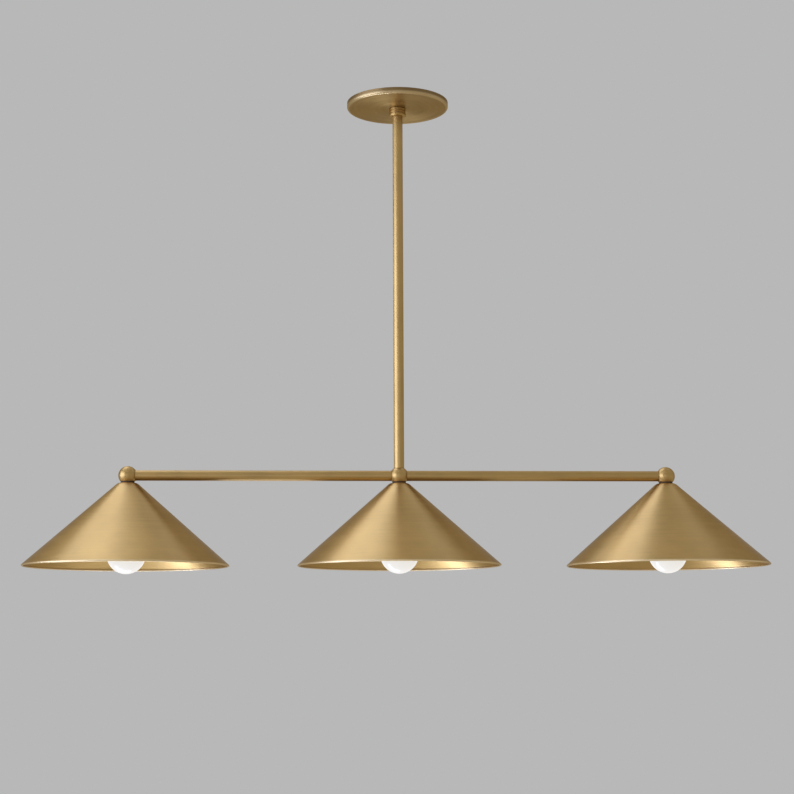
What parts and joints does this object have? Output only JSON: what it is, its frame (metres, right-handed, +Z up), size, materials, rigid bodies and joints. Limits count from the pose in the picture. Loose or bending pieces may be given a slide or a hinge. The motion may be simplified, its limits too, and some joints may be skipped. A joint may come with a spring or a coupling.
{
  "type": "linear island pendant",
  "caption": "Ceiling pendant: a stem carries a horizontal bar with cone shades over round bulbs, for lighting an island or table.",
  "frame": {"origin": "middle of the ceiling plane, where the crossbar's top face and the canopy's rim meet the ceiling", "axes": "+Z up towards the ceiling, +X along the bar and the crossbar, -Y towards the viewer of the picture"},
  "size_m": [0.912, 0.249, 0.6118],
  "materials": {
    "brushed_brass": "satin, brushed round",
    "zinc_steel": "zinc plated",
    "dark_steel": "black oxide",
    "green_screw": "green, as earth screws are",
    "dark_washer": "matt",
    "porcelain": "glazed white",
    "plain_brass": "plain stamped",
    "white_glass": "white coated inside",
    "bulb_cap_metal": "bright",
    "black_glass": "moulded",
    "solder": "tinned",
    "board_aluminium": "white board",
    "black_insulation": "matt",
    "white_insulation": "matt"
  },
  "bodies": {
    "ceiling_bracket": {"crossbar": "zinc_steel", "ground_screw": "green_screw", "crossbar_nipple": "zinc_steel", "crossbar_locknut": "zinc_steel", "crossbar_lock_washer": "zinc_steel"},
    "fixture": {"stem_tube": "brushed_brass", "left_arm_tube": "brushed_brass", "right_arm_tube": "brushed_brass", "left_ball": "brushed_brass", "centre_ball": "brushed_brass", "right_ball": "brushed_brass", "frame_nipples": "zinc_steel", "lamp_nipples": "zinc_steel", "seat_washers": "dark_washer", "lock_washers": "zinc_steel", "bridge_screws": "zinc_steel", "terminal_screws": "plain_brass", "left_shade": "brushed_brass", "left_socket_cup": "brushed_brass", "left_socket_bridge": "zinc_steel", "left_socket_body": "porcelain", "left_screw_shell": "plain_brass", "left_centre_contact": "plain_brass", "left_live_wire": "black_insulation", "left_neutral_wire": "white_insulation", "centre_shade": "brushed_brass", "centre_socket_cup": "brushed_brass", "centre_socket_bridge": "zinc_steel", "centre_socket_body": "porcelain", "centre_screw_shell": "plain_brass", "centre_centre_contact": "plain_brass", "centre_live_wire": "black_insulation", "centre_neutral_wire": "white_insulation", "right_shade": "brushed_brass", "right_socket_cup": "brushed_brass", "right_socket_bridge": "zinc_steel", "right_socket_body": "porcelain", "right_screw_shell": "plain_brass", "right_centre_contact": "plain_brass", "right_live_wire": "black_insulation", "right_neutral_wire": "white_insulation"},
    "canopy": {"canopy": "brushed_brass", "collar": "brushed_brass", "collar_set_screw": "dark_steel"},
    "left_bulb": {"left_bulb_globe": "white_glass", "left_bulb_cap": "bulb_cap_metal", "left_bulb_insulator": "black_glass", "left_bulb_tip": "solder", "left_light_board": "board_aluminium"},
    "centre_bulb": {"centre_bulb_globe": "white_glass", "centre_bulb_cap": "bulb_cap_metal", "centre_bulb_insulator": "black_glass", "centre_bulb_tip": "solder", "centre_light_board": "board_aluminium"},
    "right_bulb": {"right_bulb_globe": "white_glass", "right_bulb_cap": "bulb_cap_metal", "right_bulb_insulator": "black_glass", "right_bulb_tip": "solder", "right_light_board": "board_aluminium"}
  },
  "joints": [
    {"name": "stem_turn", "type": "hinge", "parent": "ceiling_bracket", "child": "fixture", "pos_m": [0, 0, 0], "axis": [0, 0, 1], "range_deg": [-180, 180]},
    {"name": "canopy_drop", "type": "slide", "parent": "fixture", "child": "canopy", "axis": [0, 0, -1], "range_m": [0, 0.44]},
    {"name": "left_bulb_out", "type": "slide", "parent": "fixture", "child": "left_bulb", "axis": [0, 0, -1], "range_m": [0, 0.1]},
    {"name": "centre_bulb_out", "type": "slide", "parent": "fixture", "child": "centre_bulb", "axis": [0, 0, -1], "range_m": [0, 0.1]},
    {"name": "right_bulb_out", "type": "slide", "parent": "fixture", "child": "right_bulb", "axis": [0, 0, -1], "range_m": [0, 0.1]}
  ]
}
